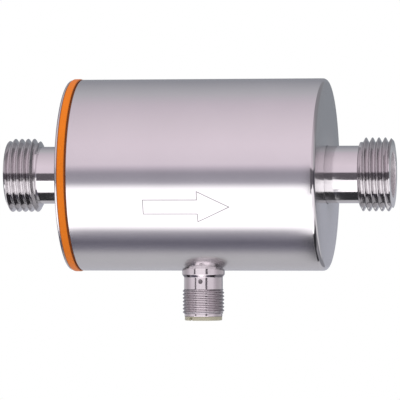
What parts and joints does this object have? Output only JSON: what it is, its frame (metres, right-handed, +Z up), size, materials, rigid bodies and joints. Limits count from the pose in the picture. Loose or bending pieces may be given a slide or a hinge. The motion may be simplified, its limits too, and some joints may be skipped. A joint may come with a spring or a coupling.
{
  "type": "electromagnetic flow sensor",
  "caption": "In-line flow sensor for conductive liquids: round steel housing with an orange seal ring, a threaded pipe nipple at each end and a round plug connector below.",
  "frame": {"origin": "middle of the flow axis, halfway between the two nipple end faces", "axes": "+X along the flow from inlet to outlet, +Z up, connector towards -Z, marked side towards -Y"},
  "size_m": [0.11, 0.0546, 0.0684],
  "materials": {
    "stainless_steel": "satin",
    "orange_seal": "smooth",
    "black_rubber": "matt",
    "nickel_plate": "bright",
    "contact_plastic": "smooth",
    "gold_contact": "bright",
    "tube_plastic": "smooth",
    "electrode_metal": "bright",
    "gland_plastic": "smooth",
    "soft_iron": "machined",
    "zinc_screw": "zinc plated",
    "bobbin_plastic": "smooth",
    "copper_winding": "enamelled",
    "carrier_plastic": "smooth",
    "board_laminate": "solder mask",
    "chip_body": "matt",
    "capacitor_can": "bright",
    "ribbon_film": "film",
    "lead_sleeve": "smooth",
    "sensor_body": "bright"
  },
  "bodies": {
    "root": {"housing_cup": "stainless_steel", "end_cover": "stainless_steel", "inlet_nipple": "stainless_steel", "outlet_nipple": "stainless_steel", "seal_ring": "orange_seal", "cover_o_ring": "black_rubber", "inlet_gasket": "black_rubber", "outlet_gasket": "black_rubber", "inlet_o_ring": "black_rubber", "outlet_o_ring": "black_rubber", "electrode_seal_front": "black_rubber", "electrode_seal_rear": "black_rubber", "connector_gasket": "black_rubber", "connector_shell": "nickel_plate", "connector_insert": "contact_plastic", "contact_pins": "gold_contact", "measuring_tube": "tube_plastic", "electrode_front": "electrode_metal", "electrode_rear": "electrode_metal", "electrode_gland_front": "gland_plastic", "electrode_gland_rear": "gland_plastic", "connector_spacer": "gland_plastic", "pole_piece_upper": "soft_iron", "pole_piece_lower": "soft_iron", "magnet_yoke": "soft_iron", "pole_screws": "zinc_screw", "board_screws": "zinc_screw", "coil_bobbin_upper": "bobbin_plastic", "coil_bobbin_lower": "bobbin_plastic", "field_coil_upper": "copper_winding", "field_coil_lower": "copper_winding", "board_carrier_inlet": "carrier_plastic", "board_carrier_outlet": "carrier_plastic", "main_board": "board_laminate", "processor_chip": "chip_body", "coil_driver_chip": "chip_body", "choke": "chip_body", "filter_capacitors": "capacitor_can", "flex_ribbon": "ribbon_film", "electrode_lead_front": "lead_sleeve", "electrode_lead_rear": "lead_sleeve", "coil_lead_upper": "lead_sleeve", "coil_lead_lower": "lead_sleeve", "temperature_lead": "lead_sleeve", "temperature_sensor": "sensor_body"}
  },
  "joints": []
}
